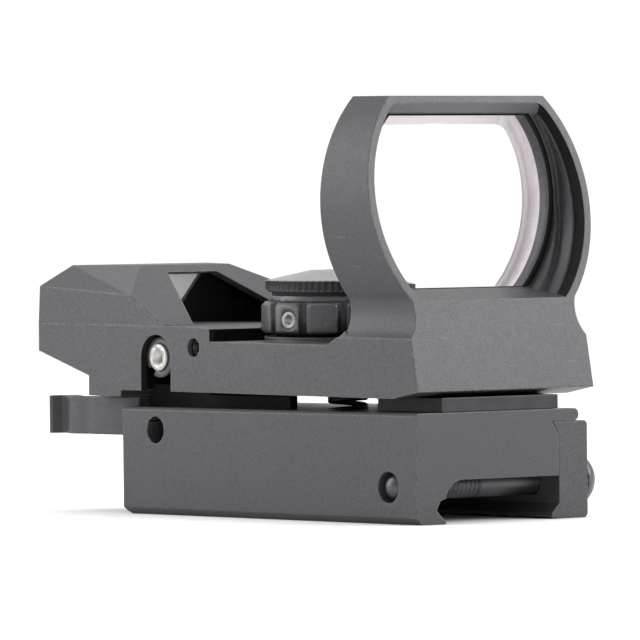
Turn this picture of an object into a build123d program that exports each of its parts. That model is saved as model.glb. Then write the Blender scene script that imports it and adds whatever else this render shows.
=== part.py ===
from build123d import *
import math
import os

# Reflex (red dot) sight on a quick-release rail mount.
# Frame: +X towards the objective hood, +Y towards the moving clamp jaw, +Z up.
# Origin: middle of the mount's length, on the sight's mid-plane, on the plane
# where the rail's top face meets the mount. All dimensions in millimetres.

# ---------------------------------------------------------------- mount
BASE_X0, BASE_X1 = -32.9, 32.5        # mount body, rear and front face
NEAR_Y, FAR_Y = -16.4, 10.2           # fixed side face, side face behind the jaw
FOOT_Z, TOP_Z = -6.1, 9.45            # feet of both jaws, top of the mount
FLANGE_Y = 14.0                       # overhang above the moving jaw
JAW_X0, JAW_X1 = -12.0, 32.4          # moving jaw's length
JAW_Y0, JAW_Y1 = 10.32, 15.7          # moving jaw's inner and outer face
BOLT_X, BOLT_Z, BOLT_R = 26.37, -0.93, 1.9
GUIDE_X = (-6.0, 13.0)                # jaw guide pins
GUIDE_Z, GUIDE_R = 3.3, 1.5
LEV_X, LEV_Y = -25.3, 3.5             # lever's vertical pivot
LEV_Z0, LEV_Z1 = 4.5, 8.1              # lever arm inside the mount
TAB_Z0, LEV_TOP = 5.2, 10.75          # finger tab behind the mount
DET_X, DET_Z = -25.35, 6.18           # lock plunger in the side wall
YAW_X, YAW_Y, YAW_R = 27.3, -0.7, 2.2 # vertical windage pivot
# ---------------------------------------------------------------- optic
HALF_W = 16.45                        # half width of the housing
OPT_X0, OPT_X1 = -52.6, 32.98         # rear wall, lower front corner
BOT_Z, SEAM_Z, STEP_Z, CUT_Z = 11.29, 20.79, 19.8, 18.7
SKIRT_Z = 10.35                       # lower edge of the housing behind the mount
RAKE = 0.2                            # front face: X + RAKE * Z = FRONT_C
FRONT_C = 35.46
HOOD_R, HOOD_CZ, HOOD_TOP = 20.59, 39.0, 53.68
HOOD_X0 = 17.0                        # rear face of the hood
RIM = 1.2
LENS_X0, LENS_X1, LENS_R = 17.67, 20.9, 17.85
ROOF_Z = 29.3
SLANT_X, SLANT = -22.9, 1.84          # foot and run per rise of the cover's sloped front
KNOB_X, KNOB_R = -3.08, 11.36
LEDGE_Z = 19.35                       # top of the seat ring under the knob
CELL_R = 10.0                         # coin cell, 20 mm across
SLOT_X, SLOT_Z, SLOT_R = -25.05, 16.1, 3.4
HINGE_X, HINGE_Z, HINGE_R = 21.5, 13.0, 1.5
TILT = 0.518                          # elevation setting at rest, degrees
TILT_X, TILT_Z = 32.5, 9.45


def box(x0, x1, y0, y1, z0, z1):
    return Pos((x0 + x1) / 2, (y0 + y1) / 2, (z0 + z1) / 2) * Box(x1 - x0, y1 - y0, z1 - z0)


def cylz(x, y, z0, z1, r):
    return Pos(x, y, (z0 + z1) / 2) * Cylinder(r, z1 - z0)


def cyly(x, z, y0, y1, r):
    return Pos(x, (y0 + y1) / 2, z) * Rot(90, 0, 0) * Cylinder(r, y1 - y0)


def cylx(y, z, x0, x1, r):
    return Pos((x0 + x1) / 2, y, z) * Rot(0, 90, 0) * Cylinder(r, x1 - x0)


def prism_y(pts, y0, y1):
    f = Face(Wire.make_polygon([(x, y0, z) for x, z in pts], close=True))
    return extrude(f, amount=y1 - y0, dir=(0, 1, 0))


def prism_x(pts, x0, x1):
    f = Face(Wire.make_polygon([(x0, y, z) for y, z in pts], close=True))
    return extrude(f, amount=x1 - x0, dir=(1, 0, 0))


def prism_z(pts, z0, z1):
    f = Face(Wire.make_polygon([(x, y, z0) for x, y in pts], close=True))
    return extrude(f, amount=z1 - z0, dir=(0, 0, 1))


def edges_x(segs, x0, x1):
    """Closed outline in YZ made of lines and three-point arcs, pushed along X."""
    es = []
    for s in segs:
        p = [(x0, y, z) for y, z in s]
        es.append(Line(*p) if len(p) == 2 else ThreePointArc(*p))
    f = make_face(Curve() + es)
    return extrude(f, amount=x1 - x0, dir=(1, 0, 0))


def polyhedron(verts, faces):
    fs = [Face(Wire.make_polygon([verts[i] for i in f], close=True)) for f in faces]
    return Solid(Shell(fs))


def front_of(c):
    """Everything in front of the raked plane X + RAKE * Z = c."""
    return prism_y([(c - RAKE * 5, 5), (c - RAKE * 62, 62), (90, 62), (90, 5)], -40, 40)


def ngon(x, y, r, n, a0=0.0):
    return [(x + r * math.cos(math.radians(a0 + 360 / n * i)),
             y + r * math.sin(math.radians(a0 + 360 / n * i))) for i in range(n)]


def tilted(s):
    return Pos(TILT_X, 0, TILT_Z) * Rot(0, TILT, 0) * Pos(-TILT_X, 0, -TILT_Z) * s


def tilt_pt(x, z):
    a = math.radians(TILT)
    dx, dz = x - TILT_X, z - TILT_Z
    return (TILT_X + math.cos(a) * dx + math.sin(a) * dz,
            TILT_Z - math.sin(a) * dx + math.cos(a) * dz)


N = {}        # node name -> shape, in the mount's frame
O = {}        # node name -> shape, in the optic's level frame, tilted at the end

# ================================================================ rail_base
prof = [
    ((-15.4, FOOT_Z), (NEAR_Y, FOOT_Z + 1.0)),
    ((NEAR_Y, FOOT_Z + 1.0), (NEAR_Y, TOP_Z - 0.4)),
    ((NEAR_Y, TOP_Z - 0.4), (NEAR_Y + 0.4, TOP_Z)),
    ((NEAR_Y + 0.4, TOP_Z), (13.1, TOP_Z)),
    ((13.1, TOP_Z), (FLANGE_Y, 8.57), (13.1, 7.7)),
    ((13.1, 7.7), (8.92, 7.7)),
    ((8.92, 7.7), (FAR_Y, 5.85)),
    ((FAR_Y, 5.85), (FAR_Y, 0.0)),
    ((FAR_Y, 0.0), (-7.9, 0.0)),
    ((-7.9, 0.0), (-10.05, -0.85), (-11.1, -2.57)),
    ((-11.1, -2.57), (-12.05, -2.84)),
    ((-12.05, -2.84), (-12.81, -4.13)),
    ((-12.81, -4.13), (-10.96, -5.9)),
    ((-10.96, -5.9), (-11.2, FOOT_Z)),
    ((-11.2, FOOT_Z), (-15.4, FOOT_Z)),
]
base = edges_x(prof, BASE_X0, BASE_X1)
# the overhang and its undercut stop short of the lever
base -= box(BASE_X0 - 1, JAW_X0 - 0.6, FAR_Y, 20, 0, 12)
base += box(BASE_X0, JAW_X0 - 0.6, 8.0, FAR_Y, 5.0, TOP_Z)
# rounded lower rear corner of the fixed jaw
base -= box(BASE_X0 - 1, BASE_X0 + 1.0, -17, 12, FOOT_Z - 1, FOOT_Z + 1.0) - cyly(BASE_X0 + 1.0, FOOT_Z + 1.0, -18, 13, 1.0)
# lever pocket, open to the rear and to the jaw side
base -= prism_z([(BASE_X0 - 1, -8.0), (-23.0, -8.0), (-18.0, -3.0), (-18.0, 12), (BASE_X0 - 1, 12)], LEV_Z0 - 0.15, LEV_Z1 + 0.15)
# cross bolt bore, deeper mouth on the fixed side
base -= cyly(BOLT_X, BOLT_Z, NEAR_Y - 1, FAR_Y + 1, BOLT_R + 0.05)
base -= cyly(BOLT_X, BOLT_Z, NEAR_Y - 1, -12.4, 2.22)
# jaw guide pins and springs
for gx in GUIDE_X:
    base -= cyly(gx, GUIDE_Z, -2.0, FAR_Y + 1, GUIDE_R)
    base -= cyly(gx, GUIDE_Z, 5.0, FAR_Y + 1, 2.7)
# lever pin, yaw pin
base -= cylz(LEV_X, LEV_Y, 1.4, 12, 2.0)
base -= cylz(YAW_X, YAW_Y, 3.0, 12, YAW_R)
# lock plunger: mouth, spring chamber, nose guide
base -= cyly(DET_X, DET_Z, NEAR_Y - 1, -12.6, 1.95)
base -= cyly(DET_X, DET_Z, -13.9, -9.6, 2.65)
base -= cyly(DET_X, DET_Z, -10.0, -7.0, 1.3)
# pedestal screws and lift spring seat
PED_SCREWS = [(-7.5, -8.6), (-15.8, -1.6)]
for px, py in PED_SCREWS:
    base -= cylz(px, py, 3.6, 12, 1.25)
SPR_X, SPR_Y = 3.3, -4.0
base -= cylz(SPR_X, SPR_Y, 7.6, 12, 3.1)
N["rail_base"] = base

# ================================================================ clamp_jaw
jaw = prism_x([(9.25, 7.66), (15.35, 7.66), (JAW_Y1, 7.3), (JAW_Y1, -5.6), (15.2, FOOT_Z), (10.3, FOOT_Z),
               (8.75, -5.85), (8.85, -5.3), (JAW_Y0, -3.85), (JAW_Y0, 5.9)], JAW_X0, JAW_X1)
jaw -= cyly(BOLT_X, BOLT_Z, 5, 18, BOLT_R + 0.05)
for gx in GUIDE_X:
    jaw -= cyly(gx, GUIDE_Z, 5, 18, GUIDE_R + 0.05)
N["clamp_jaw"] = jaw
N["guide_pins"] = Compound([cyly(gx, GUIDE_Z, -2.0, 15.3, GUIDE_R) for gx in GUIDE_X])
N["jaw_springs"] = Compound([cyly(gx, GUIDE_Z, 5.05, 10.25, 2.45) - cyly(gx, GUIDE_Z, 4, 11, 1.75) for gx in GUIDE_X])

# ================================================================ cross_bolt
bolt = cyly(BOLT_X, BOLT_Z, -15.25, 18.0, BOLT_R)
bolt += Pos(BOLT_X, -14.0, BOLT_Z) * Sphere(2.27) & cyly(BOLT_X, BOLT_Z, -16.55, -15.25, BOLT_R)
head = cyly(BOLT_X, BOLT_Z, 17.5, 21.5, 4.05) & (Pos(BOLT_X, 16.9, BOLT_Z) * Sphere(4.22))
bolt += head
bolt -= box(BOLT_X - 0.45, BOLT_X + 0.45, 20.3, 22, BOLT_Z - 5, BOLT_Z + 5)
# thread on the middle of the shank, cut as shallow rings
for i in range(10):
    y = -8.4 + 0.8 * i
    bolt -= cyly(BOLT_X, BOLT_Z, y, y + 0.42, BOLT_R + 1) - cyly(BOLT_X, BOLT_Z, y - 1, y + 1, BOLT_R - 0.33)
N["cross_bolt"] = bolt

# ================================================================ qr_lever
outline = [(-22.6, -1.6), (-31.0, -5.2), (-33.3, -7.2), (-33.4, -12.9), (-35.2, -13.9), (-42.2, -14.2), (-42.9, -14.05),
           (-44.6, -14.0), (-45.6, -14.25), (-47.6, -14.35), (-48.4, -14.1), (-49.6, -13.4), (-50.6, -12.95), (-51.3, -13.1),
           (-51.75, -13.8), (-52.1, -14.35), (-52.6, -14.5), (-53.0, -14.2), (-53.2, -13.5), (-53.1, -12.6), (-52.3, -11.0),
           (-49.8, -9.2), (-45.8, -8.0), (-42.0, -5.6), (-38.0, 0.5), (-33.0, 5.6), (-27.3, 8.6)]
TAB_X = BASE_X0 - 0.45
arm = prism_z(outline, LEV_Z0, LEV_Z1) & box(TAB_X - 0.05, 0, -20, 20, 0, 20)
hub = cylz(LEV_X, LEV_Y, LEV_Z0, LEV_Z1, 5.6)
tab = prism_z(outline, TAB_Z0, LEV_TOP) & box(-60, TAB_X, -20, 20, 0, 20)
tab -= cylz(LEV_X, LEV_Y, LEV_Z1, 20, 10.8)
lever = arm + hub + tab
# small notch under the tab, shallow thumb hollow on top near the tip
lever -= cyly(-44.2, TAB_Z0 - 0.15, -16, -12.5, 0.42)
lever -= Pos(-47.8, -11.0, LEV_TOP + 9.3) * Sphere(9.9)
lever -= cylz(LEV_X, LEV_Y, 0, 12, 2.05)
lever -= cyly(DET_X, DET_Z, -9, -1.2, 1.35)
N["qr_lever"] = lever
N["lever_pivot_pin"] = cylz(LEV_X, LEV_Y, 1.4, TOP_Z - 0.1, 2.0)

# ================================================================ lock plunger
pl = cyly(DET_X, DET_Z, -14.2, -12.6, 1.88) + cyly(DET_X, DET_Z, -12.7, -11.9, 2.5)
pl += cyly(DET_X, DET_Z, -12.0, -3.4, 1.2)
N["lock_plunger"] = pl
N["lock_spring"] = cyly(DET_X, DET_Z, -11.85, -9.65, 2.3) - cyly(DET_X, DET_Z, -13, -9, 1.4)

# ================================================================ adjuster_pedestal
WS_X, WS_Z = SLOT_X - 0.05, 16.72
ped = prism_z([(-32.8, -11.2), (-1.0, -11.2), (-1.0, -9.9), (-20.5, 6.5), (-32.8, 6.5)], TOP_Z, 11.2)
ped += box(-32.2, -19.2, -11.2, 5.0, 11.1, 12.6)
ped += box(-30.0, -20.4, -7.0, 6.0, 12.5, 18.9)
ped += cyly(WS_X, WS_Z, -15.1, -6.9, 2.5)
ped -= cyly(WS_X, WS_Z, -20, 20, 1.55)
ped -= cyly(WS_X, WS_Z, -20, -8.9, 2.0)
for px, py in PED_SCREWS:
    ped -= cylz(px, py, 9, 12, 1.3) + cylz(px, py, 10.45, 12, 2.25)
N["adjuster_pedestal"] = ped
N["pedestal_screws"] = Compound([
    (cylz(px, py, 3.8, 10.55, 1.2) + cylz(px, py, 10.5, 11.1, 2.15)) - Pos(px, py, 11.05) * Box(3.0, 0.5, 0.5)
    for px, py in PED_SCREWS])

# ================================================================ windage screw, ring, nut
hexw = 1.0
ws = cyly(WS_X, WS_Z, -15.95, -9.0, 1.94) + cyly(WS_X, WS_Z, -9.1, 13.2, 1.45)
hexpts = [(WS_X + hexw * 1.1547 * math.cos(math.radians(60 * i + 30)), WS_Z + hexw * 1.1547 * math.sin(math.radians(60 * i + 30))) for i in range(6)]
ws -= prism_y(hexpts, -17, -14.4)
ws -= cyly(WS_X, WS_Z, -15.63, -15.17, 3) - cyly(WS_X, WS_Z, -16, -14, 1.68)
N["windage_screw"] = ws
ring = cyly(WS_X, WS_Z, -15.6, -15.2, 2.93) - cyly(WS_X, WS_Z, -16, -14, 1.76)
ring -= prism_y([(WS_X, WS_Z), (WS_X - 3.6, WS_Z - 2.3), (WS_X - 3.6, WS_Z - 3.6), (WS_X - 1.9, WS_Z - 3.6)], -16, -14)
N["screw_retaining_ring"] = ring
nut = box(-28.4, -21.8, 9.9, 12.3, 13.4, 18.7) - cyly(WS_X, WS_Z, 9, 13, 1.53)
N["windage_nut"] = nut

# ================================================================ pivots
N["yaw_pivot_pin"] = cylz(YAW_X, YAW_Y, 3.0, 11.45, YAW_R - 0.0)
hx, hz = tilt_pt(HINGE_X, HINGE_Z)
blk = box(18.7, 32.4, -11.6, 10.2, TOP_Z + 0.05, 11.5)
blk += box(18.9, 24.4, -11.6, 10.2, 11.4, 15.4)
blk -= cylz(YAW_X, YAW_Y, 0, 20, YAW_R + 0.05)
blk -= cyly(hx, hz, -20, 20, HINGE_R + 0.05)
N["pivot_block"] = blk
O["hinge_pin"] = cyly(HINGE_X, HINGE_Z, -15.2, 16.2, HINGE_R)
N["lift_spring"] = cylz(SPR_X, SPR_Y, 7.65, 11.35, 2.95) - cylz(SPR_X, SPR_Y, 7, 12, 2.2)

# ================================================================ main_housing
side = [(OPT_X0, SEAM_Z), (OPT_X0, 16.69), (-40.7, 13.24), (-40.7, SKIRT_Z), (-33.3, SKIRT_Z), (-33.3, BOT_Z), (27.5, BOT_Z + 0.1), (OPT_X1, 12.43),
        (31.5, STEP_Z), (15.55, STEP_Z), (13.4, CUT_Z), (-12.9, CUT_Z), (-12.9, 20.45), (-15.5, SEAM_Z)]
low = prism_y(side, -HALF_W, HALF_W)
ty = math.sqrt(HOOD_R ** 2 - (HOOD_TOP - HOOD_CZ) ** 2)
ez = 25.2
ey = math.sqrt(HOOD_R ** 2 - (ez - HOOD_CZ) ** 2)
hood = edges_x([
    ((-HALF_W, STEP_Z - 0.5), (HALF_W, STEP_Z - 0.5)),
    ((HALF_W, STEP_Z - 0.5), (HALF_W, STEP_Z)),
    ((HALF_W, STEP_Z), (15.0, 22.9), (ey, ez)),
    ((ey, ez), (HOOD_R, HOOD_CZ), (ty, HOOD_TOP)),
    ((ty, HOOD_TOP), (-ty, HOOD_TOP)),
    ((-ty, HOOD_TOP), (-HOOD_R, HOOD_CZ), (-ey, ez)),
    ((-ey, ez), (-15.0, 22.9), (-HALF_W, STEP_Z)),
    ((-HALF_W, STEP_Z), (-HALF_W, STEP_Z - 0.5)),
], HOOD_X0, 36)
hood -= front_of(FRONT_C)
housing = low + hood + prism_y([(15.2, 19.6), (17.05, 19.6), (17.05, 20.75)], -16.05, 16.05)


def d_prof(r, zt, zb, x0, x1, ft=0.0, fb=0.0):
    """Circle of radius r on the hood's axis, flattened at the top and the sill,
    with the corners rounded by ft at the top and fb at the sill."""
    d = cylx(0, HOOD_CZ, x0, x1, r) & box(x0, x1, -30, 30, zb, zt)
    if ft:
        d = fillet(d.edges().filter_by(Axis.X).sort_by(Axis.Z)[-2:], ft)
    if fb:
        d = fillet(d.edges().filter_by(Axis.X).sort_by(Axis.Z)[:2], fb)
    return d


R1 = HOOD_R - RIM
RET_X0, RET_X1, RET_R = 20.72, 22.7, 17.35   # lens retainer ring
SILL_Z, EAVE_Z = 26.55, 51.15                # sill and ceiling height at the lens
cut1 = d_prof(R1, EAVE_Z, 25.65, 23.0, 60, 0, 1.2) & front_of(FRONT_C - 2.2)
cut2 = d_prof(R1 - 0.3, EAVE_Z, 26.5, RET_X1 + 0.08, 60, 0, 1.1) & front_of(FRONT_C - 4.9)
cut3 = d_prof(R1 - 1.15, EAVE_Z, 26.5, RET_X0, 60, 0, 1.0)
cut4 = d_prof(R1 - 1.15, 51.68, 25.9, RET_X0 - 0.04, RET_X1 + 0.08, 1.0, 1.0)
seat = d_prof(LENS_R + 0.04, 51.54, 26.01, LENS_X0 - 0.01, RET_X0)
# the sill slopes up and the ceiling slopes down from the front edge to the lens
sill = prism_y([(RET_X1 + 0.06, SILL_Z), (FRONT_C - RAKE * 25.1 + 0.6, 25.0), (FRONT_C + 2, 30), (RET_X1 + 0.06, 30)], -16, 16)
eave = prism_y([(RET_X1 + 0.06, EAVE_Z), (FRONT_C - RAKE * (HOOD_TOP - 1.0), HOOD_TOP - 1.0), (40, HOOD_TOP - 1.0),
                (40, EAVE_Z - 0.2), (RET_X1 + 0.06, EAVE_Z - 0.2)], -16, 16)
housing = housing - cut1 - cut2 - cut3 - cut4 - seat
housing = housing - (sill & d_prof(R1, 40, 24.9, RET_X1 + 0.06, 60, 0, 1.2) & front_of(FRONT_C - 2.2))
housing = housing - (sill & d_prof(R1 - 0.3, 40, 24.9, RET_X1 + 0.06, 60, 0, 1.2) & front_of(FRONT_C - 4.9))
housing = housing - (sill & d_prof(R1 - 1.15, 40, 24.9, RET_X1 + 0.06, 60, 0, 1.2))
housing = housing - (eave & d_prof(R1, HOOD_TOP - 1.0, 30, RET_X1 + 0.06, 60, 2.6, 0))
# rear aperture, flared towards the emitter
housing -= d_prof(16.95, 49.75, 26.45, 10, LENS_X0 + 0.5)
housing -= (Pos(17.3, 0, HOOD_CZ) * Rot(0, 90, 0) * Cone(18.0, 16.95, 0.74)) & box(15, 20, -30, 30, 26.45, 49.75)
# pedestal chamber, open below, with the arched window in the fixed-side wall
housing -= box(-33.0, -18.4, -15.4, 8.2, 5, 19.5)
housing -= box(-27.6, -22.5, 8.0, 9.6, 5, 19.5)
housing -= box(-29.2, -21.0, 9.45, 12.75, 5, 19.5)
housing -= box(-27.6, -22.5, 12.6, 14.6, 5, 19.5)
housing -= cyly(SLOT_X, SLOT_Z, -20, -14, SLOT_R)
housing -= box(SLOT_X - SLOT_R, SLOT_X + SLOT_R, -20, -14, 5, SLOT_Z)
# recess under the deck's front lip
housing -= box(-14.95, -12.8, -15.2, 15.2, CUT_Z, 20.25)
housing -= box(-13.05, -12.8, -16.25, 16.25, CUT_Z, 20.25)
# electronics bay under the knob, closed by the bottom plate
housing -= box(-12.2, 7.2, -11.0, 11.0, 12.35, 16.9)
housing -= box(-15.0, 10.0, -12.0, 12.0, 5, 12.35)
# knob clearance in the deck, seat ring under the knob, stem bore
housing -= cylz(KNOB_X, 0, CUT_Z, 30, 12.15) - box(10, 40, -20, 20, 0, 60)
housing += cylz(KNOB_X, 0, 18.0, LEDGE_Z, 10.9)
housing -= cylz(KNOB_X, 0, 16, 30, 6.05)
# pivot block pocket and hinge pin bore
housing -= box(18.0, 25.3, -12.4, 11.0, 5, 16.2)
housing -= box(18.0, 33.5, -12.4, 11.0, 5, 11.6) & front_of(0) - box(29.8, 40, -20, 20, 11.75, 30)
housing -= cyly(HINGE_X, HINGE_Z, -15.2, 20, HINGE_R)
# light bay below the emitter
housing -= box(-50.8, -43.4, -12.5, 12.5, 17.6, 25)
# windage lock screw
GRUB_X, GRUB_Z = -16.42, 17.77
housing -= cyly(GRUB_X, GRUB_Z, -20, -10.5, 1.38)
# elevation screw
EL_X, EL_Y = -9.5, 13.85
ELR = 1.6
housing -= cylz(EL_X, EL_Y, 5, 30, ELR + 0.05)
# cover screws come up from the light bay's floor
CS = [(-43.0, -14.5), (-43.0, 14.5), (-35.0, -14.6), (-35.0, 14.6)]
for cx, cy in CS:
    housing -= cylz(cx, cy, 18.9, 30, 0.85) + cylz(cx, cy, 10, 18.9, 1.6)
# bottom plate screws
BS = [(-13.55, -9.6), (8.55, -9.6), (-13.55, 9.6), (8.55, 9.6)]
for bx, by in BS:
    housing -= cylz(bx, by, 12.0, 16.0, 0.85)
O["main_housing"] = housing
bplate = box(-14.9, 9.9, -11.9, 11.9, BOT_Z + 0.15, 12.3)
bscrews = []
for bx, by in BS:
    bplate -= cylz(bx, by, 5, 13, 0.9) + cylz(bx, by, 5, 11.95, 1.35)
    bscrews.append((cylz(bx, by, 11.9, 15.8, 0.83) + cylz(bx, by, BOT_Z + 0.25, 11.93, 1.3)) - box(bx - 1, bx + 1, by - 0.2, by + 0.2, 11, 11.75))
O["bottom_plate"] = bplate
O["bottom_plate_screws"] = Compound(bscrews)
O["cover_screws"] = Compound([cylz(cx, cy, 18.8, 22.8, 0.83) + cylz(cx, cy, 17.4, 18.88, 1.55) for cx, cy in CS])

# ================================================================ emitter_cover
W = HALF_W


def hullpoly(xr, xf, y0, z0, xs_r, zs_r, xs_f, zs_f, xr_r, yr_r, xr_f, yr_f, zr):
    v = []
    for s in (-1, 1):
        v += [(xr, s * y0, z0), (xf, s * y0, z0), (xs_f, s * y0, zs_f), (xs_r, s * y0, zs_r),
              (xr_f, s * yr_f, zr), (xr_r, s * yr_r, zr)]
    f = []
    for o in (0, 6):
        f += [(o + 0, o + 1, o + 2, o + 3), (o + 3, o + 2, o + 5), (o + 2, o + 4, o + 5)]
    f += [(0, 6, 7, 1), (4, 10, 11, 5), (1, 7, 8, 2), (2, 8, 10, 4), (0, 3, 9, 6), (3, 5, 11, 9)]
    return polyhedron(v, f)


def slant(z, off=0.0):
    """X of the sloped front plane at height z, moved inwards by off."""
    k = SLANT
    n = math.hypot(1, k)
    return SLANT_X - (z - SEAM_Z) * k - off * n


outer = hullpoly(OPT_X0, slant(SEAM_Z), W, SEAM_Z, OPT_X0 + 0.35, 26.23, slant(25.15), 25.15,
                 -49.0, 12.8, slant(ROOF_Z), 8.5, ROOF_Z)
T = 1.25
inner = hullpoly(OPT_X0 + T, slant(19.0, T), W - T, 19.0, OPT_X0 + T + 0.3, 25.6, slant(24.6, T), 24.6,
                 -48.3, 12.2, slant(ROOF_Z - 1.05, T), 8.1, ROOF_Z - 1.05)
cover = outer - inner
cover -= prism_x([(-4.8, 28.25), (4.6, 28.25), (12.1, 19.5), (-12.1, 19.5)], -38.7, -15)
# fine groove beside the sloped edge, on both sides
for s in (-1, 1):
    cover -= prism_y([(slant(25.15) - 0.34, 25.15), (slant(25.15) - 0.14, 25.15), (slant(SEAM_Z) - 0.14, SEAM_Z),
                      (slant(SEAM_Z) - 0.34, SEAM_Z)], min(s * W, s * (W - 0.18)) - 0.001, max(s * W, s * (W - 0.18)) + 0.001)
# screw bosses inside the cover
for cx, cy in CS:
    s = 1 if cy > 0 else -1
    boss = cylz(cx, cy - s * 0.1, SEAM_Z, 23.6, 1.5) & outer
    cover += boss
for cx, cy in CS:
    cover -= cylz(cx, cy, 18, 22.9, 0.85)
O["emitter_cover"] = cover

# ================================================================ emitter parts
TRI = [(-6.1, 28.0), (6.1, 28.0), (0.5, 21.4), (-0.5, 21.4)]
plate = box(-43.2, -42.0, -20, 20, SEAM_Z + 0.05, 40) & inner
plate -= prism_x(TRI, -45, -30)
plate = plate & box(-50, -30, -11.9, 11.9, 0, 60)
O["emitter_bulkhead"] = plate
TRI_G = [(-6.04, 27.97), (6.04, 27.97), (0.48, 21.43), (-0.48, 21.43)]
O["emitter_window"] = prism_x(TRI_G, -43.3, -42.7)
O["led_board"] = box(-46.6, -45.4, -7.0, 7.0, 18.0, 27.2)
O["led_emitter"] = cylx(0, 25.6, -45.35, -43.6, 1.4)

# ================================================================ lens
lens = d_prof(LENS_R, 51.5, 26.05, LENS_X0 + 0.02, LENS_X1)
lens = lens & (Pos(LENS_X1 - 300, 0, HOOD_CZ) * Sphere(300.0))
lens += d_prof(16.8, 49.6, 26.55, LENS_X0 - 0.45, LENS_X0 + 0.1, 3.0, 0)
O["objective_lens"] = lens
ret = d_prof(R1 - 1.2, HOOD_TOP - 2.05, 25.95, RET_X0, RET_X1, 0.96, 0.96) - d_prof(RET_R, 50.9, 26.6, 0, 60)
O["lens_retainer"] = ret

# ================================================================ windage lock and elevation screws
g = cyly(GRUB_X, GRUB_Z, -15.7, -11.0, 1.33)
gh = [(GRUB_X + 0.75 * math.cos(math.radians(60 * i)), GRUB_Z + 0.75 * math.sin(math.radians(60 * i))) for i in range(6)]
g -= prism_y(gh, -17, -14.3)
O["windage_lock_screw"] = g
e = cylz(EL_X, EL_Y, 12.2, CUT_Z - 0.3, ELR) + cylz(EL_X, EL_Y, 9.75, 12.3, 1.1)
e -= box(EL_X - 2, EL_X + 2, EL_Y - 0.3, EL_Y + 0.3, CUT_Z - 1.0, 30)
O["elevation_screw"] = e

# ================================================================ knob
KZ0, KZ1 = 19.9, 24.36
knob = cylz(KNOB_X, 0, KZ0 + 0.4, KZ1 - 0.6, KNOB_R)
knob += Pos(KNOB_X, 0, KZ1 - 0.3) * Cone(KNOB_R, KNOB_R - 0.55, 0.6)
knob += Pos(KNOB_X, 0, KZ0 + 0.2) * Cone(KNOB_R - 0.3, KNOB_R, 0.4)
for i in range(12):
    a = math.radians(30 * i + 21.4)
    knob -= cylz(KNOB_X + 11.2 * math.cos(a), 11.2 * math.sin(a), KZ0 - 1, KZ1 + 1, 0.72)
knob += cylz(KNOB_X, 0, LEDGE_Z + 0.1, KZ0 + 0.1, 9.2)
knob += cylz(KNOB_X, 0, 15.0, LEDGE_Z + 0.2, 6.0)
knob -= cylz(KNOB_X, 0, 20.45, 30, CELL_R + 0.06)
SETA = math.radians(278.8)
SETZ = 21.8


def radial_loc(a, z, r0, r1, rad):
    m = (r0 + r1) / 2
    return Pos(KNOB_X, 0, 0) * Rot(0, 0, math.degrees(a)) * Pos(m, 0, z) * Rot(0, 90, 0) * Cylinder(rad, r1 - r0)


knob -= radial_loc(SETA, SETZ, 9.95, 13, 1.4)
knob -= radial_loc(math.radians(90), 16.4, 4.2, 8, 0.95)
O["knob_ring"] = knob
O["knob_set_screw"] = radial_loc(SETA, SETZ, CELL_R + 0.08, KNOB_R - 0.12, 1.36) - radial_loc(SETA, SETZ, 10.65, 13, 0.66)
O["knob_detent_ball"] = Pos(KNOB_X, 5.15, 16.4) * Sphere(0.8)

cap = cylz(KNOB_X, 0, 23.85, 25.22, CELL_R)
cap += cylz(KNOB_X, 0, 25.1, 25.8, 9.3)
cap += cylz(KNOB_X, 0, 25.76, 26.1, 10.35)
# knurled rim
RIDGES = 68
kn = []
for i in range(RIDGES):
    a0 = 2 * math.pi * i / RIDGES
    for da, rr in ((-0.2, 10.72), (0.2, 10.72), (0.32, 10.08), (0.68, 10.08)):
        t = a0 + da * 2 * math.pi / RIDGES
        kn.append((KNOB_X + rr * math.cos(t), rr * math.sin(t)))
cap += prism_z(kn, 26.06, 27.42)
cap += Pos(KNOB_X, 0, (27.38 + 28.86) / 2) * Cone(10.84, 4.3, 28.86 - 27.38)
cap -= box(KNOB_X - 7, KNOB_X + 7, -0.8, 0.8, 28.0, 30)
cap -= cylz(KNOB_X, 0, 23, 24.4, 8.6)
O["battery_cap"] = cap
O["cap_o_ring"] = cylz(KNOB_X, 0, 25.26, 25.7, 9.8) - cylz(KNOB_X, 0, 25, 26, 9.32)
O["coin_cell"] = cylz(KNOB_X, 0, 20.55, 22.6, CELL_R) + cylz(KNOB_X, 0, 22.5, 23.75, 8.9)
O["battery_contact"] = cylz(KNOB_X, 0, 23.8, 24.35, 4.0) - cylz(KNOB_X, 0, 23, 25, 2.4)
O["switch_board"] = box(-11.8, 6.8, -10.5, 10.5, 12.6, 13.6) + cylz(KNOB_X, 0, 13.5, 14.7, 4.0)

# ================================================================ write
os.makedirs("parts", exist_ok=True)
for k, s in O.items():
    N[k] = tilted(s)
for k, s in N.items():
    export_step(s, "parts/%s.step" % k)
print(len(N), "nodes")
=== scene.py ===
import math
import random

import bpy
import bmesh
from mathutils import Matrix, Vector


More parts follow.
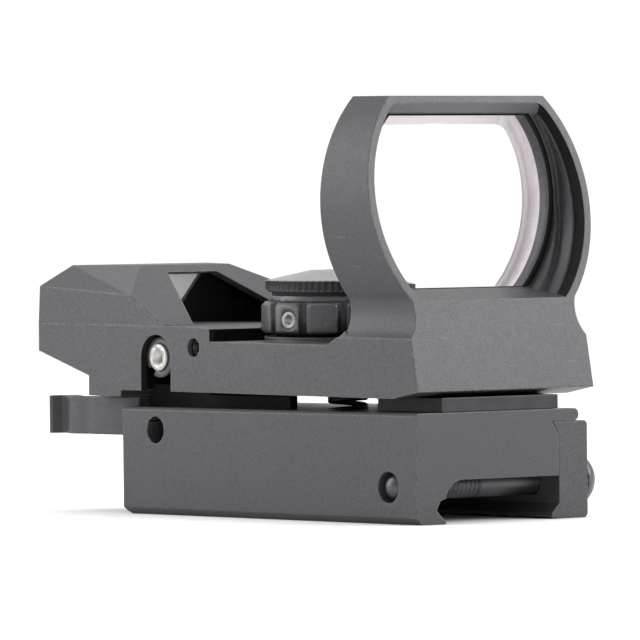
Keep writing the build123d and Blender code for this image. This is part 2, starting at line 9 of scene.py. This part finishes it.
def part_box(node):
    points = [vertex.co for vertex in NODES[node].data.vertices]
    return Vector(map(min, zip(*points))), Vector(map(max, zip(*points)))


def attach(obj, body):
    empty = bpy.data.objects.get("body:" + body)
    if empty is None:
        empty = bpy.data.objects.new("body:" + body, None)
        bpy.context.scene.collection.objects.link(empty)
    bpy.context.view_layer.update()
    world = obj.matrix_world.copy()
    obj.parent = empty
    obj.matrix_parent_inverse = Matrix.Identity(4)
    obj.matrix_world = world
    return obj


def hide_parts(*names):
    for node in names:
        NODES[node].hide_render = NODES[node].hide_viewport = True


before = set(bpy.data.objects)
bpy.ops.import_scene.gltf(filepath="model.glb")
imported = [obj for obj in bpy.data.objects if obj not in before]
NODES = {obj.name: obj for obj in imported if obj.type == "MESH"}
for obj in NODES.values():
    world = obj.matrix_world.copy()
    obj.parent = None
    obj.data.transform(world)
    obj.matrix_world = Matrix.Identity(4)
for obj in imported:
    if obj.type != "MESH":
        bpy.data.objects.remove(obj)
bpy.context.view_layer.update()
MM = 0.001

# ------------------------------------------------------------------ camera
# Long lens, about a metre away, a degree above the object.
scene = bpy.context.scene
right = Vector((0.6445079880726892, 0.7645131391310286, -0.01136280803828358))
down = Vector((0.006103773286134144, -0.020005219281838318, -0.999781243649408))
fwd = Vector((-0.764573212493196, 0.6442976418531315, -0.01755993850581711))
loc = Vector((787.235, -669.686, 40.164)) * MM
cam_data = bpy.data.cameras.new("camera")
cam_data.sensor_width = 36.0
cam_data.lens = 7191.166 / 640.0 * 36.0
cam_data.clip_start = 0.01
cam_data.clip_end = 50.0
cam = bpy.data.objects.new("camera", cam_data)
scene.collection.objects.link(cam)
m = Matrix.Identity(4)
for i in range(3):
    m[i][0], m[i][1], m[i][2], m[i][3] = right[i], -down[i], -fwd[i], loc[i]
cam.matrix_world = m
scene.camera = cam


# ------------------------------------------------------------------ material helpers
def new_mat(name):
    mat = bpy.data.materials.new(name)
    mat.use_nodes = True
    nt = mat.node_tree
    for n in list(nt.nodes):
        nt.nodes.remove(n)
    out = nt.nodes.new("ShaderNodeOutputMaterial")
    bsdf = nt.nodes.new("ShaderNodeBsdfPrincipled")
    nt.links.new(bsdf.outputs[0], out.inputs[0])
    return mat, nt, bsdf


def coords(nt, scale=(1, 1, 1)):
    tc = nt.nodes.new("ShaderNodeTexCoord")
    mp = nt.nodes.new("ShaderNodeMapping")
    mp.inputs["Scale"].default_value = scale
    nt.links.new(tc.outputs["Object"], mp.inputs["Vector"])
    return mp.outputs["Vector"]


def noise(nt, vec, scale, detail=3.0, rough=0.55):
    n = nt.nodes.new("ShaderNodeTexNoise")
    n.inputs["Scale"].default_value = scale
    n.inputs["Detail"].default_value = detail
    n.inputs["Roughness"].default_value = rough
    nt.links.new(vec, n.inputs["Vector"])
    return n.outputs["Fac"]


def ramp(nt, fac, p0, c0, p1, c1):
    r = nt.nodes.new("ShaderNodeValToRGB")
    r.color_ramp.elements[0].position = p0
    r.color_ramp.elements[1].position = p1
    r.color_ramp.elements[0].color = c0 if len(c0) == 4 else (*c0, 1)
    r.color_ramp.elements[1].color = c1 if len(c1) == 4 else (*c1, 1)
    nt.links.new(fac, r.inputs[0])
    return r.outputs[0]


def maths(nt, op, a, b=None, c=None, clamp=False):
    n = nt.nodes.new("ShaderNodeMath")
    n.operation = op
    n.use_clamp = clamp
    for i, v in enumerate((a, b, c)):
        if v is None:
            continue
        if isinstance(v, (int, float)):
            n.inputs[i].default_value = v
        else:
            nt.links.new(v, n.inputs[i])
    return n.outputs[0]


def mix_col(nt, fac, a, b):
    n = nt.nodes.new("ShaderNodeMix")
    n.data_type = "RGBA"
    if isinstance(fac, (int, float)):
        n.inputs["Factor"].default_value = fac
    else:
        nt.links.new(fac, n.inputs["Factor"])
    for sock, v in ((n.inputs[6], a), (n.inputs[7], b)):
        if isinstance(v, (tuple, list)):
            sock.default_value = v if len(v) == 4 else (*v, 1)
        else:
            nt.links.new(v, sock)
    return n.outputs[2]


def bump(nt, height, strength, dist, normal=None):
    b = nt.nodes.new("ShaderNodeBump")
    b.inputs["Strength"].default_value = strength
    b.inputs["Distance"].default_value = dist
    nt.links.new(height, b.inputs["Height"])
    if normal is not None:
        nt.links.new(normal, b.inputs["Normal"])
    return b.outputs["Normal"]


def edge_mask(nt, radius):
    """1 on convex and concave edges, 0 on flats, from a rounded normal against the true one."""
    bev = nt.nodes.new("ShaderNodeBevel")
    bev.samples = 4
    bev.inputs["Radius"].default_value = radius
    geo = nt.nodes.new("ShaderNodeNewGeometry")
    d = nt.nodes.new("ShaderNodeVectorMath")
    d.operation = "DOT_PRODUCT"
    nt.links.new(bev.outputs["Normal"], d.inputs[0])
    nt.links.new(geo.outputs["Normal"], d.inputs[1])
    return maths(nt, "SUBTRACT", 1.0, d.outputs["Value"], clamp=True), bev.outputs["Normal"]


def anodised(name, base, light, rough=0.5, grain=0.35, edge_wear_and_highlight=0.5, streak=None):
    """Blasted, dark anodised aluminium: fine grain, faint mottling, hairline scratches, and edges lightened partly as
    wear and partly as a painted edge highlight.
    """
    mat, nt, p = new_mat(name)
    v = coords(nt)
    fine = noise(nt, v, 5200.0, 1.0, 0.5)
    mid = noise(nt, v, 900.0, 4.0, 0.6)
    wide = noise(nt, v, 70.0, 3.0, 0.5)
    col = ramp(nt, fine, 0.36, base, 0.66, light)
    col = mix_col(nt, maths(nt, "MULTIPLY", wide, 0.35), col, tuple(c * 0.82 for c in base))
    col = mix_col(nt, maths(nt, "MULTIPLY", ramp(nt, mid, 0.62, (0, 0, 0), 0.8, (1, 1, 1)), 0.25), col, tuple(min(1, c * 1.7) for c in light))
    # hairline scratches, stretched noise in two directions
    sv = coords(nt, streak or (40.0, 40.0, 1600.0))
    sc = noise(nt, sv, 3.0, 2.0, 0.5)
    scratch = ramp(nt, sc, 0.70, (0, 0, 0), 0.74, (1, 1, 1))
    patch = ramp(nt, noise(nt, v, 160.0, 2.0, 0.5), 0.5, (0, 0, 0), 0.62, (1, 1, 1))
    scratch = maths(nt, "MULTIPLY", scratch, patch)
    col = mix_col(nt, maths(nt, "MULTIPLY", scratch, 0.22), col, (0.42, 0.42, 0.42))
    # edges lightened on convex and concave edges alike: partly wear, partly a painted edge highlight
    em, bn = edge_mask(nt, 0.00032)
    e = maths(nt, "MULTIPLY", em, 6.0, clamp=True)
    e = maths(nt, "MULTIPLY", e, ramp(nt, noise(nt, v, 1300.0, 4.0, 0.65), 0.34, (0.12, 0.12, 0.12), 0.66, (1, 1, 1)))
    col = mix_col(nt, maths(nt, "MULTIPLY", e, edge_wear_and_highlight), col, (0.40, 0.40, 0.41))
    nt.links.new(col, p.inputs["Base Color"])
    r = maths(nt, "MULTIPLY_ADD", mid, 0.16, rough - 0.08)
    nt.links.new(r, p.inputs["Roughness"])
    p.inputs["Metallic"].default_value = 0.25
    p.inputs["Specular IOR Level"].default_value = 0.45
    h = maths(nt, "ADD", maths(nt, "MULTIPLY", fine, 0.7), maths(nt, "MULTIPLY", mid, 0.5))
    nt.links.new(bump(nt, h, grain, 0.00006, bn), p.inputs["Normal"])
    return mat


def metal(name, base, rough=0.3, dark=0.75, metallic=0.92):
    """Turned steel: rings or grain in the finish, small colour changes."""
    mat, nt, p = new_mat(name)
    v = coords(nt)
    n1 = noise(nt, v, 2500.0, 3.0, 0.6)
    n2 = noise(nt, v, 300.0, 3.0, 0.5)
    col = ramp(nt, n2, 0.3, tuple(c * dark for c in base), 0.7, base)
    # edges lightened: partly wear, partly a painted edge highlight
    em, bn = edge_mask(nt, 0.00018)
    e = maths(nt, "MULTIPLY", maths(nt, "MULTIPLY", em, 5.0, clamp=True), 0.4)
    col = mix_col(nt, e, col, tuple(min(1.0, c * 1.6 + 0.08) for c in base))
    nt.links.new(col, p.inputs["Base Color"])
    p.inputs["Metallic"].default_value = metallic
    nt.links.new(maths(nt, "MULTIPLY_ADD", n1, 0.2, rough - 0.1), p.inputs["Roughness"])
    nt.links.new(bump(nt, n1, 0.15, 0.00003, bn), p.inputs["Normal"])
    return mat


def plastic(name, base, rough=0.6, grain=1500.0, spec=0.35):
    mat, nt, p = new_mat(name)
    v = coords(nt)
    n1 = noise(nt, v, grain, 3.0, 0.6)
    col = ramp(nt, n1, 0.3, tuple(c * 0.8 for c in base), 0.7, tuple(min(1, c * 1.15) for c in base))
    nt.links.new(col, p.inputs["Base Color"])
    nt.links.new(maths(nt, "MULTIPLY_ADD", n1, 0.15, rough - 0.07), p.inputs["Roughness"])
    nt.links.new(bump(nt, n1, 0.2, 0.00004), p.inputs["Normal"])
    p.inputs["Specular IOR Level"].default_value = spec
    return mat


housing_mat = anodised("anodised_housing", (0.044, 0.044, 0.0478), (0.076, 0.076, 0.0825), rough=0.46)
mount_mat = anodised("anodised_mount", (0.046, 0.046, 0.050), (0.078, 0.078, 0.0845), rough=0.5, edge_wear_and_highlight=0.45)
# lighter, smoother copy of the mount finish for the rail base's upward faces: painted light and painted reflection from
# above
mount_top_painted_light = anodised("anodised_mount_top_painted_light", (0.075, 0.075, 0.080), (0.115, 0.115, 0.122), rough=0.30, edge_wear_and_highlight=0.3)
knob_mat = anodised("anodised_knob", (0.060, 0.060, 0.065), (0.102, 0.102, 0.110), rough=0.40, edge_wear_and_highlight=0.6)
cap_mat = anodised("anodised_cap", (0.075, 0.075, 0.081), (0.12, 0.12, 0.128), rough=0.36, edge_wear_and_highlight=0.5)
# much lighter copy of the cap finish for the cap's upward faces: painted light from above
cap_top_painted_light = anodised("anodised_cap_top_painted_light", (0.20, 0.196, 0.196), (0.275, 0.27, 0.27), rough=0.34, edge_wear_and_highlight=0.2)
# lighter copy of the finish for the hood's ceiling: painted light bounced up from the pale floor
hood_ceiling_painted_light = anodised("anodised_hood_ceiling_painted_light", (0.125, 0.125, 0.131), (0.178, 0.178, 0.185), rough=0.5, edge_wear_and_highlight=0.2)
# darker copy of the finish: painted shade inside the hood, on the cover's mouth walls, in the knob grooves and in the
# lever's scoop
painted_shade_mid = anodised("anodised_painted_shade_mid", (0.040, 0.040, 0.044), (0.068, 0.068, 0.073), rough=0.5, edge_wear_and_highlight=0.25)
# lighter copy of the finish for the lens retainer deep in the hood: painted light
retainer_painted_light = anodised("anodised_retainer_painted_light", (0.075, 0.075, 0.080), (0.115, 0.115, 0.122), rough=0.5, edge_wear_and_highlight=0.2)

steel_mat = metal("bright_steel", (0.62, 0.60, 0.58), 0.42, metallic=0.7)
clip_mat = anodised("clip_steel", (0.070, 0.070, 0.075), (0.110, 0.110, 0.116), rough=0.42, edge_wear_and_highlight=0.5)
black_steel = metal("black_steel", (0.055, 0.055, 0.058), 0.4)
bolt_mat = metal("bolt_steel", (0.115, 0.115, 0.122), 0.4)
spring_mat = metal("spring_steel", (0.32, 0.32, 0.33), 0.35)
# black for the pivot block's near side faces: painted shade
black_plastic = plastic("black_plastic", (0.012, 0.012, 0.013), 0.55)
# near-black for the hood's front inner band and the retainer's front faces: painted shade
painted_shade_dark = plastic("painted_shade_front_band", (0.013, 0.013, 0.0142), 0.8, 1500.0, 0.15)
set_screw = metal("set_screw_steel", (0.36, 0.35, 0.34), 0.42, metallic=0.7)
# black for the pedestal, bulkhead and plunger, and painted black shade on chosen faces of the housing, the cover and
# the rail base
black_parts_and_shade = plastic("black_parts_and_painted_shade", (0.005, 0.005, 0.0056), 0.85)
rubber_mat = plastic("rubber", (0.02, 0.02, 0.021), 0.7)
board_mat = plastic("board_green", (0.03, 0.13, 0.06), 0.45, 400.0)
led_mat = plastic("led_lens", (0.55, 0.05, 0.04), 0.2, 200.0)
cell_mat = metal("cell_steel", (0.75, 0.75, 0.76), 0.25)
# grey for the window lip faces of the black bulkhead: painted highlight
window_lip_highlight = plastic("window_lip_painted_highlight", (0.075, 0.075, 0.08), 0.6)


def glass(name, tint, rough=0.0, ior=1.5, alpha=None):
    mat, nt, p = new_mat(name)
    p.inputs["Base Color"].default_value = (*tint, 1)
    p.inputs["Transmission Weight"].default_value = 1.0
    p.inputs["IOR"].default_value = ior
    v = coords(nt)
    n1 = noise(nt, v, 60.0, 2.0, 0.5)
    nt.links.new(maths(nt, "MULTIPLY_ADD", n1, 0.01, rough), p.inputs["Roughness"])
    return mat


lens_mat = glass("lens_glass", (0.995, 0.995, 0.998), 0.0, 1.06)
edge_mat, ent, ep = new_mat("lens_ground_edge")
ev = coords(ent)
en = noise(ent, ev, 2200.0, 3.0, 0.6)
ent.links.new(ramp(ent, en, 0.3, (0.94, 0.87, 0.90), 0.7, (0.99, 0.93, 0.96)), ep.inputs["Base Color"])
ent.links.new(maths(ent, "MULTIPLY_ADD", en, 0.2, 0.5), ep.inputs["Roughness"])
window_mat, wnt, wp = new_mat("frosted_window")
wv = coords(wnt)
wn = noise(wnt, wv, 1800.0, 3.0, 0.6)
wnt.links.new(ramp(wnt, wn, 0.3, (0.86, 0.87, 0.87), 0.7, (0.94, 0.95, 0.95)), wp.inputs["Base Color"])
wnt.links.new(maths(wnt, "MULTIPLY_ADD", wn, 0.2, 0.35), wp.inputs["Roughness"])
wp.inputs["Transmission Weight"].default_value = 0.15

# ------------------------------------------------------------------ CAD nodes: materials, smooth shading, bevels
MATS = {
    "main_housing": housing_mat, "emitter_cover": housing_mat, "bottom_plate": housing_mat,
    "rail_base": mount_mat, "clamp_jaw": mount_mat, "qr_lever": mount_mat,
    "knob_ring": knob_mat, "battery_cap": cap_mat, "pivot_block": black_steel,
    "adjuster_pedestal": black_parts_and_shade, "pedestal_screws": black_steel, "screw_retaining_ring": clip_mat,
    "windage_screw": steel_mat, "windage_nut": black_steel, "yaw_pivot_pin": black_steel, "hinge_pin": black_steel,
    "lift_spring": black_steel, "cross_bolt": bolt_mat, "bottom_plate_screws": black_steel, "cover_screws": black_steel,
    "emitter_bulkhead": black_parts_and_shade, "emitter_window": window_mat, "led_board": board_mat, "led_emitter": led_mat,
    "objective_lens": lens_mat, "lens_retainer": retainer_painted_light, "windage_lock_screw": black_steel, "elevation_screw": black_steel,
    "knob_set_screw": set_screw, "knob_detent_ball": steel_mat, "cap_o_ring": rubber_mat, "coin_cell": cell_mat,
    "battery_contact": spring_mat, "switch_board": board_mat, "guide_pins": steel_mat, "jaw_springs": spring_mat,
    "lever_pivot_pin": black_steel, "lock_plunger": black_parts_and_shade, "lock_spring": spring_mat,
}
for name, o in NODES.items():
    me = o.data
    me.materials.clear()
    me.materials.append(MATS[name])
    for p in me.polygons:
        p.material_index = 0
        p.use_smooth = name != "emitter_cover"       # the cover is all flats

BEVEL = {"rail_base": 0.25, "clamp_jaw": 0.25, "qr_lever": 0.45, "main_housing": 0.22,
         "pivot_block": 0.2, "adjuster_pedestal": 0.2, "windage_nut": 0.15}
for name, o in NODES.items():
    if name != "emitter_cover":
        w = o.modifiers.new("weld", "WELD")
        w.merge_threshold = 0.000002
    if name in BEVEL:
        d = o.modifiers.new("flat", "DECIMATE")
        d.decimate_type = "DISSOLVE"
        d.angle_limit = math.radians(0.4)
        d.delimit = {"SHARP", "MATERIAL"} if name == "main_housing" else {"SHARP"}
        b = o.modifiers.new("bevel", "BEVEL")
        b.width = BEVEL[name] * MM
        b.segments = 2
        b.limit_method = "ANGLE"
        b.angle_limit = math.radians(28)
        b.use_clamp_overlap = True
        b.harden_normals = False
        b.miter_outer = "MITER_SHARP"
    if name != "emitter_cover":
        wn_ = o.modifiers.new("normals", "WEIGHTED_NORMAL")
        wn_.keep_sharp = True
    o.data.set_sharp_from_angle(angle=math.radians(30))


# ------------------------------------------------------------------ new pieces
def mesh_obj(name, verts, faces, mat, smooth=True):
    me = bpy.data.meshes.new(name)
    me.from_pydata(verts, [], faces)
    me.update()
    me.materials.append(mat)
    for p in me.polygons:
        p.use_smooth = smooth
    o = bpy.data.objects.new(name, me)
    scene.collection.objects.link(o)
    return o


def coil(name, start, end, radius, wire, turns, mat, seg=28, ring=10):
    """A compression spring with closed end turns, as a tube round a helix."""
    a, b = Vector(start), Vector(end)
    ax = (b - a)
    length = ax.length
    ax.normalize()
    u = ax.orthogonal().normalized()
    w = ax.cross(u)
    pts = []
    n = int(turns * seg)
    for i in range(n + 1):
        t = i / n
        k = t * turns
        # closed turns at both ends
        lo, hi = 0.8, turns - 0.8
        if k < lo:
            z = wire + k * 0.15 * wire
        elif k > hi:
            z = length - wire - (turns - k) * 0.15 * wire
        else:
            z0, z1 = wire + lo * 0.15 * wire, length - wire - lo * 0.15 * wire
            z = z0 + (z1 - z0) * (k - lo) / (hi - lo)
        ang = k * 2 * math.pi
        pts.append((a + ax * z + (u * math.cos(ang) + w * math.sin(ang)) * radius, ang))
    verts, faces = [], []
    for i, (c, ang) in enumerate(pts):
        rad = u * math.cos(ang) + w * math.sin(ang)
        for j in range(ring):
            t = 2 * math.pi * j / ring
            verts.append(c + (rad * math.cos(t) + ax * math.sin(t)) * wire)
    for i in range(len(pts) - 1):
        for j in range(ring):
            k = (j + 1) % ring
            faces.append((i * ring + j, i * ring + k, (i + 1) * ring + k, (i + 1) * ring + j))
    faces.append(tuple(range(ring))[::-1])
    faces.append(tuple((len(pts) - 1) * ring + j for j in range(ring)))
    return mesh_obj(name, [tuple(v) for v in verts], faces, mat)


def box_mm(node):
    lo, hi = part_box(node)
    return lo / MM, hi / MM


lo, hi = box_mm("lift_spring")
c = (lo + hi) / 2
s1 = coil("lift_spring_coil", Vector((c.x, c.y, lo.z)) * MM, Vector((c.x, c.y, hi.z)) * MM, 2.55 * MM, 0.38 * MM, 3.6, black_steel)
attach(s1, "mount"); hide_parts("lift_spring")
lo, hi = box_mm("lock_spring")
c = (lo + hi) / 2
s2 = coil("lock_spring_coil", Vector((c.x, lo.y, c.z)) * MM, Vector((c.x, hi.y, c.z)) * MM, 1.95 * MM, 0.24 * MM, 3.5, spring_mat)
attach(s2, "mount"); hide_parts("lock_spring")
lo, hi = box_mm("jaw_springs")
zc = (lo.z + hi.z) / 2
s3 = coil("jaw_spring_rear", Vector((lo.x + 2.45, lo.y, zc)) * MM, Vector((lo.x + 2.45, hi.y, zc)) * MM, 2.1 * MM, 0.3 * MM, 5, spring_mat)
s4 = coil("jaw_spring_front", Vector((hi.x - 2.45, lo.y, zc)) * MM, Vector((hi.x - 2.45, hi.y, zc)) * MM, 2.1 * MM, 0.3 * MM, 5, spring_mat)
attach(s3, "mount"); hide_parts("jaw_springs")
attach(s4, "mount"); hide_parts("jaw_springs")

# ------------------------------------------------------------------ paint by place (painted shade and painted light on chosen faces, plus the lens's ground edge), in the optic's level frame
TILT = math.radians(0.518)


def level(pt):
    """Millimetre position in the optic's level frame."""
    dx, dz = pt.x / MM - 32.5, pt.z / MM - 9.45
    return (math.cos(TILT) * dx - math.sin(TILT) * dz + 32.5, pt.y / MM, math.sin(TILT) * dx + math.cos(TILT) * dz + 9.45)


def plain(pt):
    return (pt.x / MM, pt.y / MM, pt.z / MM)


def paint(node, mats, pick, where=level):
    me = NODES[node].data
    base = len(me.materials)
    for mt in mats:
        me.materials.append(mt)
    for p in me.polygons:
        i = pick(where(p.center), p.normal)
        if i is not None:
            p.material_index = base + i


# hood inside: 0 painted dark shade on the front band, 1 painted mid shade further in, 2 painted light on the ceiling; 3
# painted black shade under the deck lip, in the bay, on the near slot's walls and on the mouth floor
def pick_housing(c, n):
    x, y, z = c
    front = 35.46 - (x + 0.2 * z)          # distance behind the raked front face
    r = math.hypot(y, z - 39.0)
    if x > 17.06 and front > 0.06 and 24.9 < z < 52.75 and r < 19.46:
        if n.z < -0.7 and abs(n.y) < 0.3 and z > 50.0:
            return 2
        if n.z > 0.9 and z < 27.5:
            return None
        return 0 if (front < 2.3 and n.x < 0.6) else 1
    if -15.0 < x < -12.7 and 18.69 < z < 20.4 and abs(y) < 16.3 and abs(n.y) < 0.9:
        return 3
    if -33.05 < x < -18.35 and -15.45 < y < 14.65 and z < 19.55 and not (z < 11.4 and n.z < -0.5):
        return 3
    if -28.5 < x < -21.6 and y < -15.3 and z < 19.6 and abs(n.y) < 0.3 and not (z < 11.4 and n.z < -0.5):
        return 3
    if -50.9 < x < -35.4 and abs(y) < 12.6 and 17.5 < z < 20.7:
        return 3
    return None


paint("main_housing", [painted_shade_dark, painted_shade_mid, hood_ceiling_painted_light, black_parts_and_shade], pick_housing)


# emitter cover: 0 painted black shade on the inward faces, 1 painted mid shade on the mouth's side walls
def pick_cover(c, n):
    x, y, z = c
    d = (x + 40.0) * n.x + y * n.y + (z - 24.0) * n.z
    if -38.6 < x < -15 and abs(y) < 13.0 and abs(n.y) > 0.5 and y * n.y < 0 and x > -22.9 - (z - 20.79) * 1.84 - 2.7:
        return 1
    if d < 0:
        return 0
    return None


paint("emitter_cover", [black_parts_and_shade, painted_shade_mid], pick_cover)
# bulkhead's window lip faces painted grey: painted highlight
paint("emitter_bulkhead", [window_lip_highlight], lambda c, n: 0 if (abs(n.x) < 0.9 and abs(c[1]) < 6.4 and 21.0 < c[2] < 28.1) else None)
# retainer front faces painted near-black: painted shade
paint("lens_retainer", [painted_shade_dark], lambda c, n: 0 if n.x > 0.6 else None)
# rail base: painted black shadow in the near cross-hole, painted light on the upward faces
paint("rail_base", [black_parts_and_shade, mount_top_painted_light],
      lambda c, n: 0 if (-27.5 < c[0] < -23.0 and 4.0 < c[2] < 8.6 and -15.3 < c[1] < -10.0 and abs(n.y) < 0.5) else (1 if (n.z > 0.9 and c[2] > 9.0) else None), plain)
# pivot block's near side faces painted black: painted shade
paint("pivot_block", [black_plastic], lambda c, n: 0 if n.y < -0.5 else None)
# knob ring grooves darker: painted shade
paint("knob_ring", [painted_shade_mid], lambda c, n: 0 if (abs(n.z) < 0.3 and 10.3 < math.hypot(c[0] + 3.08, c[1]) < 11.12 and c[2] > 20.0) else None)
# lever's finger scoop darker: painted shade
paint("qr_lever", [painted_shade_mid], lambda c, n: 0 if (-52.2 < c[0] < -50.9 and n.y < -0.2 and n.x > 0.1) else None, plain)
# cap top faces painted lighter: painted light from above
paint("battery_cap", [cap_top_painted_light], lambda c, n: 0 if (n.z > 0.5 and c[2] > 27.2) else None)
paint("objective_lens", [edge_mat], lambda c, n: 0 if (abs(n.x) < 0.5 or (n.x < -0.5 and c[0] > 17.5)) else None)

# ------------------------------------------------------------------ floor, light
def plane(name, size, z, mat):
    s = size / 2
    return mesh_obj(name, [(-s, -s, z), (s, -s, z), (s, s, z), (-s, s, z)], [(0, 1, 2, 3)], mat, False)


floor_mat, fnt, fp = new_mat("studio_floor")
fv = coords(fnt)
fnn = noise(fnt, fv, 6.0, 2.0, 0.5)
fnt.links.new(ramp(fnt, fnn, 0.3, (0.93, 0.93, 0.93), 0.7, (0.95, 0.95, 0.95)), fp.inputs["Base Color"])
fp.inputs["Roughness"].default_value = 0.9
fp.inputs["Specular IOR Level"].default_value = 0.0
floor = plane("studio_floor", 60.0, -6.1 * MM - 0.00002, floor_mat)

world = bpy.data.worlds.new("studio")
scene.world = world
world.use_nodes = True
wt = world.node_tree
bg = wt.nodes["Background"]
bg.inputs["Strength"].default_value = 1.0
# white behind the object, softer from the other sides
wc = wt.nodes.new("ShaderNodeTexCoord")
wd = wt.nodes.new("ShaderNodeVectorMath")
wd.operation = "DOT_PRODUCT"
wd.inputs[1].default_value = (-0.765, 0.644, 0.0)
wt.links.new(wc.outputs["Generated"], wd.inputs[0])
wr = wt.nodes.new("ShaderNodeValToRGB")
wr.color_ramp.elements[0].position = 0.25
wr.color_ramp.elements[0].color = (0.62, 0.62, 0.63, 1)
wr.color_ramp.elements[1].position = 0.95
wr.color_ramp.elements[1].color = (1.06, 1.06, 1.06, 1)
wt.links.new(wd.outputs["Value"], wr.inputs[0])
wt.links.new(wr.outputs[0], bg.inputs["Color"])


def sun(name, direction, strength, angle):
    d = bpy.data.lights.new(name, "SUN")
    d.energy = strength
    d.angle = math.radians(angle)
    o = bpy.data.objects.new(name, d)
    scene.collection.objects.link(o)
    o.rotation_euler = Vector(direction).to_track_quat("Z", "Y").to_euler()
    return o


def area(name, loc_mm, target_mm, size, power, color=(1, 1, 1)):
    d = bpy.data.lights.new(name, "AREA")
    d.shape = "RECTANGLE"
    d.size, d.size_y = size
    d.energy = power
    d.color = color
    o = bpy.data.objects.new(name, d)
    scene.collection.objects.link(o)
    o.location = Vector(loc_mm) * MM
    o.rotation_euler = (Vector(target_mm) * MM - o.location).to_track_quat("-Z", "Y").to_euler()
    return o


sun("overhead", (-0.25, 0.1, 1.0), 1.5, 50)
area("front_box", (430, 390, 300), (20, 0, 25), (0.42, 0.30), 3.4)
area("left_box", (-420, -330, 240), (-10, 0, 25), (0.35, 0.45), 1.6)

# a narrow soft spot for the recess in front of the emitter's window
spot_d = bpy.data.lights.new("recess_spot", "SPOT")
spot_d.energy = 10.0
spot_d.spot_size = math.radians(2.4)
spot_d.spot_blend = 0.8
spot_d.shadow_soft_size = 0.012
spot = bpy.data.objects.new("recess_spot", spot_d)
scene.collection.objects.link(spot)
spot.visible_glossy = False
spot.location = Vector((460, -327, 42)) * MM
spot.rotation_euler = (Vector((-42, 0.5, 24.8)) * MM - spot.location).to_track_quat("-Z", "Y").to_euler()

scene.view_settings.view_transform = "Standard"
scene.view_settings.look = "None"
scene.view_settings.exposure = 0.0
scene.view_settings.gamma = 1.0
